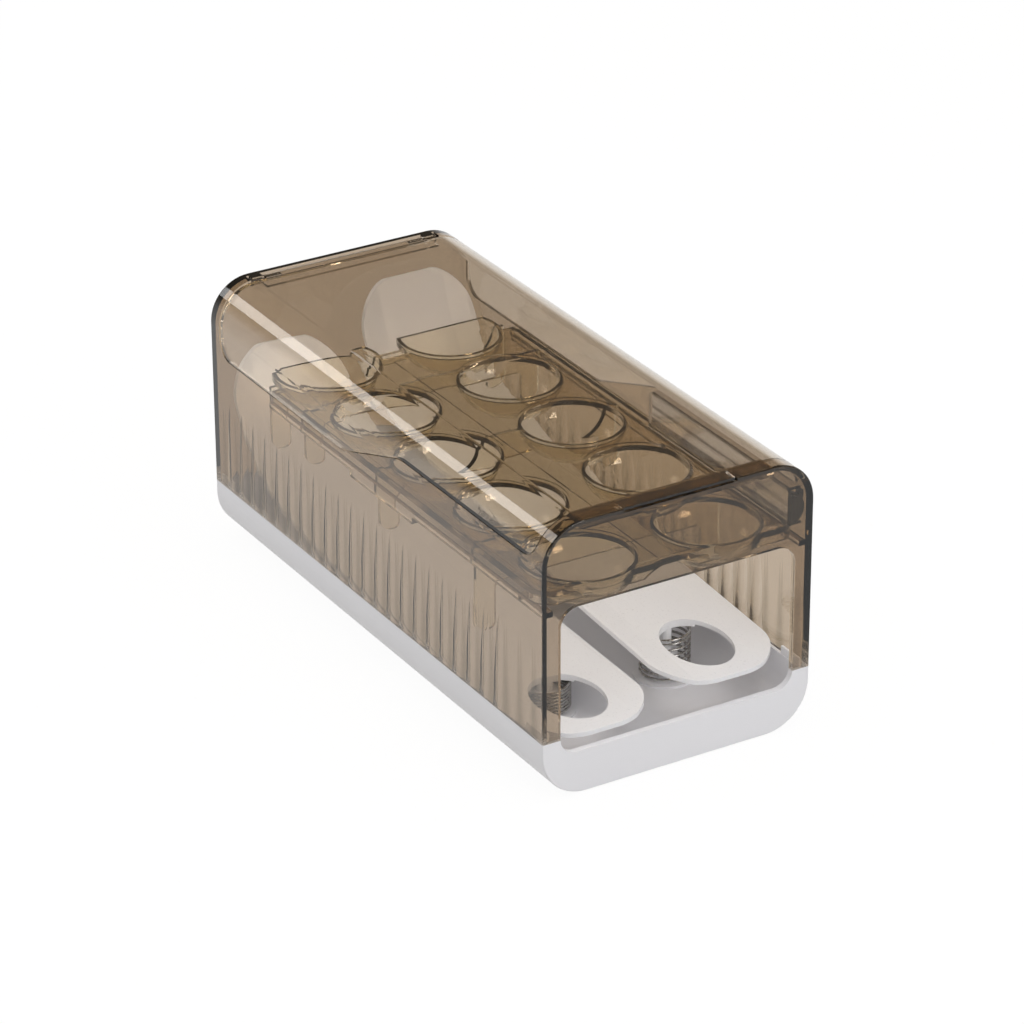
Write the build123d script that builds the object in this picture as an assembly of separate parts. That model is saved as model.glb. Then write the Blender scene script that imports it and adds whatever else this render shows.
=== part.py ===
from build123d import *
import math
import os

# Two lane egg dispenser with a cup tray above the lanes and a flip lid.
# Millimetres. X runs across the box, Y towards its rear, Z up.
# The origin is on the ground under the centre of the box.

# Driving dimensions of the outer box
width = 140.0
length = 306.5
height = 134.4
top_corner = 20.6
end_edge = 0.6
bottom_corner = 22.5
base_height = 29.5

# White base
foot_height = 0.6
base_side = 4.5
base_end = 3.0
base_floor = 7.5
base_floor_wall = 2.6
base_inner_corner = 11.0
sill_height = 21.5
sill_corner = 8.5
under_rib = 2.0
snap_tab_length = 13.0
snap_tab_height = 4.0
snap_tab_wall = 1.1

# Smoked housing
wall = 3.0
opening_side = 9.0
opening_drop = 40.9
opening_corner = 9.0
arch_depth = 8.3
flute_pitch = 12.0
flute_depth = 1.25
flute_land = 0.3
flute_top = 76.0
flute_front_margin = 21.0
flute_rear_margin = 10.0

# Seam between housing and lid, seen from the side
seam_gap = 0.45
seam_rear_gap = 1.8
seam_low_drop = 35.6
seam_high_drop = 17.8
jog_rear = 24.0
jog_front = -29.0
jog_radius = 25.0
seam_rear_radius = 10.0
seam_front_radius = 8.0

# Lid hinge
hinge_radius = 2.8
hinge_rear_inset = 6.25
barrel_side_inset = 26.0
ear_gap = 0.4
ear_width = 6.0
pin_radius = 1.5
pin_head_radius = 2.2
pin_head = 1.0
pin_reach = 8.0
pin_run_clearance = 0.06
pin_hold_clearance = 0.03

# Finger tab of the lid
tab_half_width = 28.9
tab_thickness = 1.5
tab_front_inset = 0.9
tab_gap = 0.2
ledge_thickness = 2.0
ledge_reach = 4.0

# Upper egg tray
tray_drop = 35.4
tray_plate = 2.4
tray_side_gap = 1.5
tray_front_gap = 4.25
tray_front_corner = 8.0
tray_rear_inset = 56.25
tray_skirt = 5.6
tray_skirt_wall = 2.0
tray_band_width = 3.6
tray_band_height = 1.4
tray_band_open = 6.0
finger_notch_radius = 21.6
finger_notch_top = 0.3
cup_radius = 24.0
cup_bottom_radius = 8.0
cup_depth = 14.5
cup_wall = 1.5
cup_rim_width = 1.9
cup_rim_height = 1.2
cup_column_shift = 0.25
cup_rows = 5
cup_front_inset = 30.55
cup_rear_inset = 50.35
rear_cup_cut = 9.5
centre_strip_half_width = 4.5
centre_strip_height = 0.8
rib_thickness = 2.0
rib_leg_width = 10.0
rib_leg_corner = 6.0
rib_side_gap = 2.5
rib_corner = 3.0
rear_rib_inset = 50.0
rear_rib_clearance = 6.4
rear_rib_depth = 8.0
short_rib_inset = 83.75
short_rib_clearance = 20.5
short_rib_depth = 10.0
middle_rib_y = -1.0
middle_rib_clearance = 24.8
middle_rib_depth = 15.0
front_rib_inset = 66.25
front_rib_clearance = 17.6
front_rib_depth = 22.0
rail_reach = 3.1
rail_thickness = 2.6
rail_block_front = -38.0
rail_block_rear = 19.0
rail_block_thickness = 5.8
rest_inset = 23.25
rest_reach = 6.5

# White egg lanes, described at the surface of the trough
lane_middle_gap = 3.0
lane_side_gap = 1.0
lane_sheet = 2.2
lane_rail_rise = 1.6
lane_rail_width = 2.4
lane_floor_half_width = 18.0
lane_front_inset = 6.25
lane_front_z = 25.85
lane_slope = 1.2
lane_lower_radius = 353.0
lane_lower_angle = 10.8
lane_upper_radius = 75.0
lane_upper_angle = 56.0
paddle_drop = 36.4
paddle_rear_inset = 7.0
lane_front_corner = 24.0
paddle_corner = 23.0
hole_half_width = 15.5
hole_half_length = 21.0
hole_front_inset = 30.5
right_lane_tilt = 2.4
right_lane_lift = 8.3
lane_pivot_inset = 31.0

# Spring seats, guide posts and retaining screws
front_post_inset = 60.75
rear_post_inset = 91.25
post_inset = 1.7
seat_radius = 14.5
seat_height = 1.2
post_radius = 6.0
front_post_top = 19.0
rear_post_top = 24.5
post_shelf = 2.0
post_bore = 4.5
stem_radius = 3.0
stem_clearance = 0.08
pad_radius = 13.5
pad_drop = 0.8
screw_flange_radius = 4.1
screw_flange = 0.8
screw_head_radius = 3.2
screw_head = 2.0
screw_slot = 0.9
screw_shank_radius = 1.4
screw_shank = 9.0
stop_gap = 0.05

# Springs
spring_radius = 11.4
spring_wire = 1.2
wire_sides = 6
spring_turns = 8
spring_end_gap = 0.5
spring_seat_gap = 0.3

# Side holder, its insert and end cap
holder_front_inset = 6.25
holder_length = 113.0
holder_depth = 7.5
holder_drop = 15.1
holder_wall = 1.4
holder_wall_gap = 0.3
holder_corner = 3.5
insert_gap = 0.3
insert_drop = 4.0
cap_length = 2.4
cap_drop = 2.5
cap_depth = 7.2
cap_core_inset = 1.2
cap_core = 0.8
cap_nub = 2.6

# Foot pads
pad_foot_radius = 5.0
pad_foot_thickness = 1.8
pad_foot_clearance = 0.05
foot_side_inset = 31.0
foot_end_inset = 15.0

# Sizes that follow from the driving dimensions
half_width = width / 2
half_length = length / 2
inner_half_width = half_width - wall
inner_half_length = half_length - wall
base_inner_half_width = half_width - base_side
opening_half_width = half_width - opening_side
opening_top = height - opening_drop
barrel_half_length = half_width - barrel_side_inset
hinge_y = half_length - hinge_rear_inset
hinge_z = height - hinge_radius
seam_rear = half_length - arch_depth
seam_front = -seam_rear
seam_low = height - seam_low_drop
seam_high = height - seam_high_drop
jog_angle = math.atan2(seam_high - seam_low, jog_rear - jog_front)
tray_half_width = inner_half_width - tray_side_gap
tray_front = -inner_half_length + tray_front_gap
tray_rear = half_length - tray_rear_inset
tray_top = height - tray_drop
tray_low = tray_top - tray_skirt
cup_column = tray_half_width / 2 + cup_column_shift
cup_front_row = -half_length + cup_front_inset
cup_pitch = (length - cup_front_inset - cup_rear_inset) / (cup_rows - 1)
rear_rib_y = half_length - rear_rib_inset
short_rib_y = half_length - short_rib_inset
front_rib_y = -half_length + front_rib_inset
rest_y = -half_length + rest_inset
lane_outer = base_inner_half_width - lane_side_gap
lane_width = lane_outer - lane_middle_gap
lane_centre = (lane_outer + lane_middle_gap) / 2
lane_front = -half_length + lane_front_inset
front_post_y = -half_length + front_post_inset
rear_post_y = half_length - rear_post_inset
post_x = lane_centre - post_inset
hole_y = lane_front + hole_front_inset
holder_low = tray_top + tray_band_height
holder_front = -half_length + holder_front_inset
holder_face = inner_half_width - holder_depth
holder_top = height - holder_drop
insert_height = holder_top - holder_low - insert_drop
cap_height = holder_top - holder_low - cap_drop
foot_x = half_width - foot_side_inset


def rounded_face(corners):
    """A flat face from (u, v, radius) corners."""
    face = make_face(Polyline(*[(u, v) for u, v, _ in corners], close=True))
    for u, v, radius in corners:
        if radius > 0:
            nearest = face.vertices().sort_by_distance((u, v, 0))[0]
            face = fillet(nearest, radius)
    return face


def block(x, y, z):
    """A box between pairs of lowest and highest coordinates."""
    size = (x[1] - x[0], y[1] - y[0], z[1] - z[0])
    middle = ((x[0] + x[1]) / 2, (y[0] + y[1]) / 2, (z[0] + z[1]) / 2)
    return Pos(*middle) * Box(*size)


def upright(radius, low, high, x=0.0, y=0.0):
    """A standing cylinder between two heights."""
    return Pos(x, y, (low + high) / 2) * Cylinder(radius, high - low)


def crosswise(radius, x_low, x_high, y, z):
    """A cylinder that lies along X."""
    axis = Pos((x_low + x_high) / 2, y, z) * Rot(0, 90, 0)
    return axis * Cylinder(radius, x_high - x_low)


def along_y(face, y_low, y_high):
    """Extrude a face drawn in X and Z between two stations."""
    placed = Pos(0, y_high, 0) * (Plane.XZ * face)
    return extrude(placed, y_high - y_low)


def along_x(face, x_low, x_high):
    """Extrude a face drawn in Y and Z between two stations."""
    placed = Pos(x_low, 0, 0) * (Plane.YZ * face)
    return extrude(placed, x_high - x_low)


def softened_ends(bar, axis, skipped):
    """Small rounds along the edges of both end faces, but not on the side that meets its neighbour."""
    for end in (0, -1):
        face = bar.faces().sort_by(Axis.Y)[end]
        edges = face.edges().sort_by(axis)
        kept = edges[1:] if skipped < 0 else edges[:-1]
        bar = fillet(kept, end_edge)
    return bar


def box_section(half, low, high, low_radius, high_radius):
    """The box outline seen from the front."""
    return rounded_face(
        [
            (-half, low, low_radius),
            (half, low, low_radius),
            (half, high, high_radius),
            (-half, high, high_radius),
        ]
    )


# White base


def foot_places():
    """Centres of the four foot pads with their names."""
    y = half_length - foot_end_inset
    return {
        "front_left": (-foot_x, -y),
        "front_right": (foot_x, -y),
        "rear_left": (-foot_x, y),
        "rear_right": (foot_x, y),
    }


def post_places():
    """Centres and top heights of the guide posts of both lanes."""
    stations = ((front_post_y, front_post_top), (rear_post_y, rear_post_top))
    return [(side * post_x, y, top) for side in (-1, 1) for y, top in stations]


def base_hollow():
    """The space that the lanes sink into."""
    section = box_section(
        base_inner_half_width, base_floor, base_height + 1, base_inner_corner, 0
    )
    return along_y(section, -half_length + base_end, half_length - base_end)


def base_underside():
    """Pockets between the ribs under the floor, clear of the foot blocks."""
    pocket_top = base_floor - base_floor_wall
    half = half_width - bottom_corner - under_rib
    end = half_length - base_end
    pocket = block((-half, half), (-end, end), (0, pocket_top))
    for side in (-1, 0, 1):
        x = side * half / 2
        pocket -= block((x - under_rib / 2, x + under_rib / 2), (-end, end), (0, pocket_top))
    cross_ribs = 7
    for k in range(1, cross_ribs + 1):
        y = -end + 2 * end * k / (cross_ribs + 1)
        pocket -= block((-half, half), (y - under_rib / 2, y + under_rib / 2), (0, pocket_top))
    for x, y in foot_places().values():
        reach = pad_foot_radius + under_rib
        pocket -= block((x - reach, x + reach), (y - reach, y + reach), (0, pocket_top))
    for x, y, _ in post_places():
        pocket -= upright(post_bore + under_rib, 0, pocket_top, x, y)
    return pocket


def make_base():
    outline = box_section(half_width, foot_height, base_height, bottom_corner, 0)
    base = softened_ends(along_y(outline, -half_length, half_length), Axis.Z, 1)
    base -= base_hollow()
    base -= base_underside()
    sill = rounded_face(
        [
            (-opening_half_width, sill_height, sill_corner),
            (opening_half_width, sill_height, sill_corner),
            (opening_half_width, base_height + sill_corner, 0),
            (-opening_half_width, base_height + sill_corner, 0),
        ]
    )
    base -= along_y(sill, -half_length - 1, -half_length + base_end + 1)
    for x, y, top in post_places():
        base += upright(seat_radius, base_floor - 1, base_floor + seat_height, x, y)
        base += upright(post_radius, base_floor - 1, top, x, y)
    for x, y, top in post_places():
        base -= upright(post_bore, 0, top - post_shelf, x, y)
        base -= upright(stem_radius + stem_clearance, 0, top + 1, x, y)
    for x, y in foot_places().values():
        recess = foot_height + pad_foot_thickness - foot_height
        base -= upright(pad_foot_radius + pad_foot_clearance, 0, recess, x, y)
    tab_outer = inner_half_width - seam_gap / 2
    tab_end = inner_half_length - seam_gap / 2
    for side in (-1, 1):
        for end in (-1, 1):
            x = sorted((side * (tab_outer - snap_tab_wall), side * tab_outer))
            y = sorted((end * (tab_end - snap_tab_length), end * tab_end))
            base += block(x, y, (base_height - 1, base_height + snap_tab_height))
    return base


def make_foot(x, y):
    pad = upright(pad_foot_radius, 0, pad_foot_thickness, x, y)
    return chamfer(pad.edges().group_by(Axis.Z)[0], foot_height / 2)


# Smoked housing


def saddle(offset, rear_offset):
    """The lid's outline seen from the side, drawn inside the seam by an offset."""
    shift = offset * math.tan(jog_angle / 2)
    rear = seam_rear - rear_offset
    front = seam_front + offset
    top = 2 * height
    return rounded_face(
        [
            (rear, top, 0),
            (rear, seam_low + offset, seam_rear_radius - offset),
            (jog_rear + shift, seam_low + offset, jog_radius - offset),
            (jog_front + shift, seam_high + offset, jog_radius + offset),
            (front, seam_high + offset, seam_front_radius - offset),
            (front, top, 0),
        ]
    )


def cover_shell():
    """The whole smoked cover before the lid is cut out of it."""
    outer = box_section(half_width, base_height, height, 0, top_corner)
    inner = box_section(
        inner_half_width, base_height - 1, height - wall, 0, top_corner - wall
    )
    shell = softened_ends(along_y(outer, -half_length, half_length), Axis.Z, -1)
    return shell - along_y(inner, -inner_half_length, inner_half_length)


def flute(side):
    """One vertical flute that fades out towards its top."""
    chord = flute_pitch - flute_land
    radius = (chord**2 / 4 + flute_depth**2) / (2 * flute_depth)
    rise = flute_top - base_height
    lean = math.degrees(math.atan2(flute_depth, rise))
    foot = inner_half_width + flute_depth - radius
    cutter = Pos(0, 0, base_height) * Rot(0, -lean, 0) * Cylinder(radius, 4 * rise)
    slab = block(
        (inner_half_width - foot, half_width - foot),
        (-flute_pitch / 2, flute_pitch / 2),
        (base_height - 1, flute_top),
    )
    groove = Pos(foot, 0, 0) * (cutter & slab)
    if side < 0:
        groove = mirror(groove, Plane.YZ)
    return groove


def flutes():
    """A row of flutes along each long wall."""
    front = -half_length + flute_front_margin
    rear = half_length - flute_rear_margin
    count = int((rear - front) // flute_pitch)
    grooves = []
    for side in (-1, 1):
        groove = flute(side)
        for k in range(count):
            y = rear - flute_pitch * (k + 0.5)
            grooves.append(Pos(0, y, 0) * groove)
    return grooves


def hinge_ear(side):
    """A knuckle on the rear wall that carries one hinge pin."""
    inner = barrel_half_length + ear_gap
    x = sorted((side * inner, side * (inner + ear_width)))
    ear = crosswise(hinge_radius, x[0], x[1], hinge_y, hinge_z)
    low = hinge_z - hinge_radius
    return ear + block(x, (hinge_y, inner_half_length + 1), (low, height))


def tray_rails():
    """Ledges on the long walls that the egg tray stands on."""
    rails = []
    for side in (-1, 1):
        x = sorted((side * (inner_half_width - rail_reach), side * (inner_half_width + 1)))
        rails.append(block(x, (-inner_half_length, tray_rear), (tray_low - rail_thickness, tray_low)))
        deep = (tray_low - rail_block_thickness, tray_low)
        rails.append(block(x, (rail_block_front, rail_block_rear), deep))
        x = sorted((side * (inner_half_width - rest_reach), side * (inner_half_width + 1)))
        rails.append(block(x, (rest_y - 1, rest_y + 1), (tray_low - rail_thickness, tray_low)))
    return rails


def make_housing():
    housing = cover_shell()
    opening = rounded_face(
        [
            (-opening_half_width, base_height - 1, 0),
            (opening_half_width, base_height - 1, 0),
            (opening_half_width, opening_top, opening_corner),
            (-opening_half_width, opening_top, opening_corner),
        ]
    )
    housing -= along_y(opening, -half_length - 1, -inner_half_length + 1)
    housing -= along_x(saddle(0, 0), -width, width)
    notch = barrel_half_length + 2 * ear_gap + ear_width + pin_head
    housing -= block((-notch, notch), (seam_rear - 1, inner_half_length), (hinge_z - 4, height + 1))
    for side in (-1, 1):
        housing += hinge_ear(side)
    pin_hole = pin_radius + pin_hold_clearance
    housing -= crosswise(pin_hole, -notch, notch, hinge_y, hinge_z)
    recess = tab_half_width + tab_gap
    housing -= block(
        (-recess, recess),
        (-half_length - 1, seam_front + 1),
        (height - tab_thickness - tab_gap, height + 1),
    )
    ledge_top = height - wall - tab_gap
    ledge_half = half_width - top_corner
    housing += block(
        (-ledge_half, ledge_half),
        (-inner_half_length - 1, seam_front + ledge_reach),
        (ledge_top - ledge_thickness, ledge_top),
    )
    housing += tray_rails()
    housing -= flutes()
    return housing


# Lid and its pins


def make_lid():
    lid = cover_shell() & along_x(saddle(seam_gap, seam_rear_gap), -width, width)
    barrel = crosswise(hinge_radius, -barrel_half_length, barrel_half_length, hinge_y, hinge_z)
    web = block(
        (-barrel_half_length, barrel_half_length),
        (seam_rear - seam_rear_gap - 1, hinge_y),
        (height - wall, height),
    )
    lid += barrel + web
    pad_low = height - wall - 1
    lid += block(
        (-barrel_half_length - 3, barrel_half_length + 3),
        (seam_rear - seam_rear_gap - 6, seam_rear - seam_rear_gap),
        (pad_low, height - wall + 0.5),
    )
    lid += block(
        (-tab_half_width, tab_half_width),
        (-half_length + tab_front_inset, seam_front + seam_gap + 1),
        (height - tab_thickness, height),
    )
    bore = pin_radius + pin_run_clearance
    for side in (-1, 1):
        inner = barrel_half_length - pin_reach - pin_head
        x = sorted((side * inner, side * (barrel_half_length + 1)))
        lid -= crosswise(bore, x[0], x[1], hinge_y, hinge_z)
    return lid


def make_hinge_pin(side):
    outer = barrel_half_length + ear_gap + ear_width
    x = sorted((side * (barrel_half_length - pin_reach), side * outer))
    pin = crosswise(pin_radius, x[0], x[1], hinge_y, hinge_z)
    x = sorted((side * outer, side * (outer + pin_head)))
    head = crosswise(pin_head_radius, x[0], x[1], hinge_y, hinge_z)
    rim = head.edges().sort_by(Axis.X)[-1 if side > 0 else 0]
    return pin + fillet(rim, pin_head / 2)


# Egg tray


def cup_centres():
    """Cup centres, row by row from the front."""
    rows = [cup_front_row + cup_pitch * k for k in range(cup_rows)]
    return [(side * cup_column, y) for y in rows for side in (-1, 1)]


def bowl(grow, low):
    """A round cup with steep walls and a flat bottom."""
    top_radius = cup_radius + grow
    bottom_radius = cup_bottom_radius + grow / 2
    depth = tray_top - low
    middle = (
        bottom_radius + 0.76 * (top_radius - bottom_radius),
        low + 0.35 * depth,
    )
    side = ThreePointArc((bottom_radius, low), middle, (top_radius, tray_top))
    edge = Polyline((top_radius, tray_top), (0, tray_top), (0, low), (bottom_radius, low))
    return revolve(Plane.YZ * make_face(side + edge), Axis.Z)


def rib_face(low, depth):
    """A rib with a leg at each wall, open above the lanes; depth is that of its bridge."""
    half = tray_half_width - rib_side_gap
    inner = half - rib_leg_width
    bridge = tray_top - depth
    corner = min(rib_corner, 0.48 * (bridge - low))
    top = tray_top - tray_plate / 2
    return rounded_face(
        [
            (-half, top, 0),
            (-half, low, rib_leg_corner),
            (-inner, low, corner),
            (-inner, bridge, corner),
            (inner, bridge, corner),
            (inner, low, corner),
            (half, low, rib_leg_corner),
            (half, top, 0),
        ]
    )


def tray_ribs():
    """Four ribs whose legs end a set way above the raised lane."""
    stations = (
        (rear_rib_y, rear_rib_clearance, rear_rib_depth),
        (short_rib_y, short_rib_clearance, short_rib_depth),
        (middle_rib_y, middle_rib_clearance, middle_rib_depth),
        (front_rib_y, front_rib_clearance, front_rib_depth),
    )
    ribs = []
    for y, clearance, depth in stations:
        low = bent_surface(y, right_lane_tilt, right_lane_lift) + clearance
        ribs.append(along_y(rib_face(low, depth), y - rib_thickness / 2, y + rib_thickness / 2))
    return ribs


def finger_notch():
    """Arch in the middle of the front skirt, for a finger that lifts the tray."""
    radius = finger_notch_radius
    centre_z = tray_top - finger_notch_top - radius
    return Pos(0, tray_front, centre_z) * Rot(90, 0, 0) * Cylinder(radius, 2 * tray_skirt_wall + 1)


def make_egg_tray():
    plate_low = tray_top - tray_plate
    outline = rounded_face(
        [
            (-tray_half_width, tray_front, tray_front_corner),
            (tray_half_width, tray_front, tray_front_corner),
            (tray_half_width, tray_rear, 0),
            (-tray_half_width, tray_rear, 0),
        ]
    )
    tray = Pos(0, 0, tray_low) * extrude(outline, tray_top - tray_low)
    room = offset(outline, -tray_skirt_wall)
    under = Pos(0, 0, tray_low - 1) * extrude(room, plate_low - tray_low + 1)
    tray -= under
    tray -= block(
        (-tray_half_width + tray_skirt_wall, tray_half_width - tray_skirt_wall),
        (tray_rear - 2 * tray_skirt_wall, tray_rear + 1),
        (tray_low - 1, plate_low),
    )
    band = Pos(0, 0, tray_top) * extrude(outline, tray_band_height)
    band -= Pos(0, 0, tray_top) * extrude(offset(outline, -tray_band_width), tray_band_height)
    band_end = tray_rear - tray_band_open
    band -= block((-half_width, half_width), (band_end, tray_rear + 1), (tray_top, height))
    tray += band
    tray += block(
        (-centre_strip_half_width, centre_strip_half_width),
        (tray_front + tray_band_width, band_end),
        (plate_low, tray_top + centre_strip_height),
    )
    tray -= finger_notch()
    tray += tray_ribs()
    outer_bowl = bowl(cup_wall, tray_top - cup_depth - cup_wall)
    inner_bowl = bowl(0, tray_top - cup_depth)
    rim = upright(cup_radius + cup_rim_width, plate_low, tray_top + cup_rim_height)
    for x, y in cup_centres():
        tray += Pos(x, y, 0) * (outer_bowl + rim)
    last_row = cup_front_row + cup_pitch * (cup_rows - 1)
    cut = last_row + rear_cup_cut
    tray -= block((-half_width, half_width), (cut, half_length), (0, height))
    room_cut = block((-half_width, half_width), (cut - cup_wall, half_length), (0, height))
    inner_bowl += upright(cup_radius, tray_top, height)
    for x, y in cup_centres():
        tray -= Pos(x, y, 0) * inner_bowl - room_cut
    return tray


# Egg lanes


def lane_runs():
    """Lengths of the straight stretch and of the paddle's straight end.

    Both bends are fixed, so these two runs bring the paddle's end to its place in the box.
    """
    slope = math.radians(lane_slope)
    lower = slope + math.radians(lane_lower_angle)
    upper = lower + math.radians(lane_upper_angle)
    reach = half_length - paddle_rear_inset - lane_front
    reach -= lane_lower_radius * (math.sin(lower) - math.sin(slope))
    reach -= lane_upper_radius * (math.sin(upper) - math.sin(lower))
    rise = height - paddle_drop - lane_front_z
    rise -= lane_lower_radius * (math.cos(slope) - math.cos(lower))
    rise -= lane_upper_radius * (math.cos(lower) - math.cos(upper))
    turned = math.sin(upper - slope)
    straight = (reach * math.sin(upper) - rise * math.cos(upper)) / turned
    paddle = (rise * math.cos(slope) - reach * math.sin(slope)) / turned
    return straight, paddle


def lane_path():
    """Side view of the trough from its front end up to the top of the paddle."""
    y, z, angle = lane_front, lane_front_z, math.radians(lane_slope)
    straight, paddle = lane_runs()
    edges = []
    for kind, radius, amount in (
        ("run", 0, straight),
        ("turn", lane_lower_radius, lane_lower_angle),
        ("turn", lane_upper_radius, lane_upper_angle),
        ("run", 0, paddle),
    ):
        start = (0, y, z)
        if kind == "run":
            y += amount * math.cos(angle)
            z += amount * math.sin(angle)
            edges.append(Line(start, (0, y, z)))
            continue
        middle = angle + math.radians(amount) / 2
        end = angle + math.radians(amount)
        centre_y = y - radius * math.sin(angle)
        centre_z = z + radius * math.cos(angle)
        through = (0, centre_y + radius * math.sin(middle), centre_z - radius * math.cos(middle))
        y = centre_y + radius * math.sin(end)
        z = centre_z - radius * math.cos(end)
        edges.append(ThreePointArc(start, through, (0, y, z)))
        angle = end
    return Wire(edges), z


def lane_section(start, direction):
    """Trough section with a raised rail along each edge."""
    half = lane_width / 2
    rail = half - lane_rail_width
    top = [(-half, lane_rail_rise), (-rail, lane_rail_rise), (-lane_floor_half_width, 0)]
    top += [(-u, v) for u, v in reversed(top)]
    bottom = [(u, v - lane_sheet) for u, v in reversed(top)]
    face = make_face(Polyline(*[(u, -v) for u, v in top + bottom], close=True))
    return Plane(origin=start, x_dir=(1, 0, 0), z_dir=direction) * face


def corner_waste(radius):
    """What a rounded corner leaves over, with the corner at the origin."""
    far = radius - radius / math.sqrt(2)
    arc = ThreePointArc((radius, 0), (far, far), (0, radius))
    return make_face(arc + Polyline((0, radius), (-1, radius), (-1, -1), (radius, -1), (radius, 0)))


def lane_sheet_body():
    """The bent sheet of a lane, centred on X, before it is lifted or tilted."""
    path, top = lane_path()
    sheet = sweep(lane_section(path @ 0, path % 0), path=path)
    front = Pos(-lane_width / 2, lane_front, 0) * corner_waste(lane_front_corner)
    front_waste = extrude(front, height)
    rear = Pos(-lane_width / 2, top) * Rot(0, 0, -90) * corner_waste(paddle_corner)
    rear_waste = along_y(rear, hinge_y - 2 * paddle_corner, half_length)
    for waste in (front_waste, rear_waste):
        sheet -= waste
        sheet -= mirror(waste, Plane.YZ)
    return sheet


def lane_surface(y_wanted, tilt, lift):
    """Height of the straight stretch of a placed lane at a station."""
    slope = math.tan(math.radians(lane_slope))
    pivot_y = lane_front + lane_pivot_inset
    pivot_z = lane_front_z + lane_pivot_inset * slope
    incline = math.tan(math.radians(lane_slope + tilt))
    return pivot_z + lift + (y_wanted - pivot_y) * incline


def bent_surface(y_wanted, tilt, lift):
    """Height of a placed lane at a station on its lower bend."""
    straight, _ = lane_runs()
    bend_start = lane_front + straight * math.cos(math.radians(lane_slope))
    beyond = max(0.0, y_wanted - bend_start)
    bend = lane_lower_radius - math.sqrt(lane_lower_radius**2 - beyond**2)
    return lane_surface(y_wanted, tilt, lift) + bend


def pad_heights(tilt, lift):
    """Undersides of the two spring pads of a lane."""
    reach = pad_radius * math.tan(math.radians(tilt + lane_slope))
    front = lane_surface(front_post_y, tilt, lift) - lane_sheet - pad_drop - reach
    rear = bent_surface(rear_post_y, tilt, lift) - lane_sheet - pad_drop - reach
    return front, rear


def lane_travel():
    """How far the raised lane stands above the pressed one at the front spring."""
    raised = lane_surface(front_post_y, right_lane_tilt, right_lane_lift)
    return raised - lane_surface(front_post_y, 0, 0)


def stem_ends(tilt, lift):
    """Lower ends of the stems: both lanes have stems of the same length."""
    raised = pad_heights(right_lane_tilt, right_lane_lift)
    here = pad_heights(tilt, lift)
    tops = (front_post_top, rear_post_top)
    return [top - post_shelf - stop_gap - (r - h) for top, r, h in zip(tops, raised, here)]


def make_lane(side, tilt, lift):
    slope = math.tan(math.radians(lane_slope))
    pivot = (0, lane_front + lane_pivot_inset, lane_front_z + lane_pivot_inset * slope)
    sheet = Pos(*pivot) * Rot(tilt, 0, 0) * Pos(*[-c for c in pivot]) * lane_sheet_body()
    lane = Pos(side * lane_centre, 0, lift) * sheet
    x = side * post_x
    stations = zip((front_post_y, rear_post_y), pad_heights(tilt, lift), stem_ends(tilt, lift))
    for y, pad_low, stem_low in stations:
        surface = bent_surface(y, tilt, lift)
        pad = upright(pad_radius, pad_low, surface + lane_sheet, x, y)
        above = along_x(
            make_face(
                Polyline(
                    *[
                        (y + step, bent_surface(y + step, tilt, lift) - lane_sheet / 2 + rise)
                        for step, rise in (
                            (-2 * pad_radius, 0),
                            (2 * pad_radius, 0),
                            (2 * pad_radius, height),
                            (-2 * pad_radius, height),
                        )
                    ],
                    close=True,
                )
            ),
            x - 2 * pad_radius,
            x + 2 * pad_radius,
        )
        lane += pad - above
        lane += upright(stem_radius, stem_low, pad_low + 1, x, y)
    hole = Pos(side * lane_centre, hole_y, 0) * Ellipse(hole_half_width, hole_half_length)
    lane -= extrude(hole, height)
    for y, stem_low in zip((front_post_y, rear_post_y), stem_ends(tilt, lift)):
        lane -= upright(screw_shank_radius, stem_low - 1, stem_low + screw_shank, x, y)
    return lane


def make_lane_screws(side, tilt, lift):
    """The two flanged screws in the stems of a lane."""
    screws = []
    for y, top in zip((front_post_y, rear_post_y), stem_ends(tilt, lift)):
        x = side * post_x
        flange_low = top - screw_flange
        head_low = flange_low - screw_head
        screw = upright(screw_flange_radius, flange_low, top, x, y)
        screw += upright(screw_head_radius, head_low, flange_low, x, y)
        screw += upright(screw_shank_radius, top, top + screw_shank - 1, x, y)
        half_slot = screw_slot / 2
        for along in (screw_head_radius * 0.7, half_slot):
            across = half_slot if along > half_slot else screw_head_radius * 0.7
            screw -= block(
                (x - along, x + along), (y - across, y + across), (head_low - 1, head_low + 1.2)
            )
        screws.append(screw)
    return Compound(screws)


# Springs


def arc_middle(start, tangent, end):
    """Middle point of the arc that leaves start along tangent and reaches end."""
    chord = end - start
    along = chord.normalized()
    bulge = tangent - along * tangent.dot(along)
    if bulge.length < 1e-6:
        return None
    half_angle = math.radians(tangent.get_angle(chord)) / 2
    return (start + end) / 2 + bulge.normalized() * (chord.length / 2 * math.tan(half_angle))


def biarc(start, start_tangent, end, end_tangent):
    """Two arcs that join two points along the tangents there."""
    span = end - start
    sum_tangent = start_tangent + end_tangent
    spread = 2 * (1 - start_tangent.dot(end_tangent))
    across = span.dot(sum_tangent)
    reach = (math.sqrt(across**2 + spread * span.dot(span)) - across) / spread
    joint = (start + start_tangent * reach + end - end_tangent * reach) / 2
    first = ThreePointArc(start, arc_middle(start, start_tangent, joint), joint)
    back = arc_middle(end, end_tangent * -1, joint)
    return [first, ThreePointArc(joint, back, end)]


def spring_height(turn, low, high):
    """Rise of the wire: close turns at both ends and even ones between."""
    end_pitch = spring_wire + spring_end_gap
    pitch = (high - low - 2 * end_pitch) / (spring_turns - 2)
    if turn <= 1:
        return low + end_pitch * turn
    if turn >= spring_turns - 1:
        return high - end_pitch * (spring_turns - turn)
    return low + end_pitch + pitch * (turn - 1)


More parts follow.
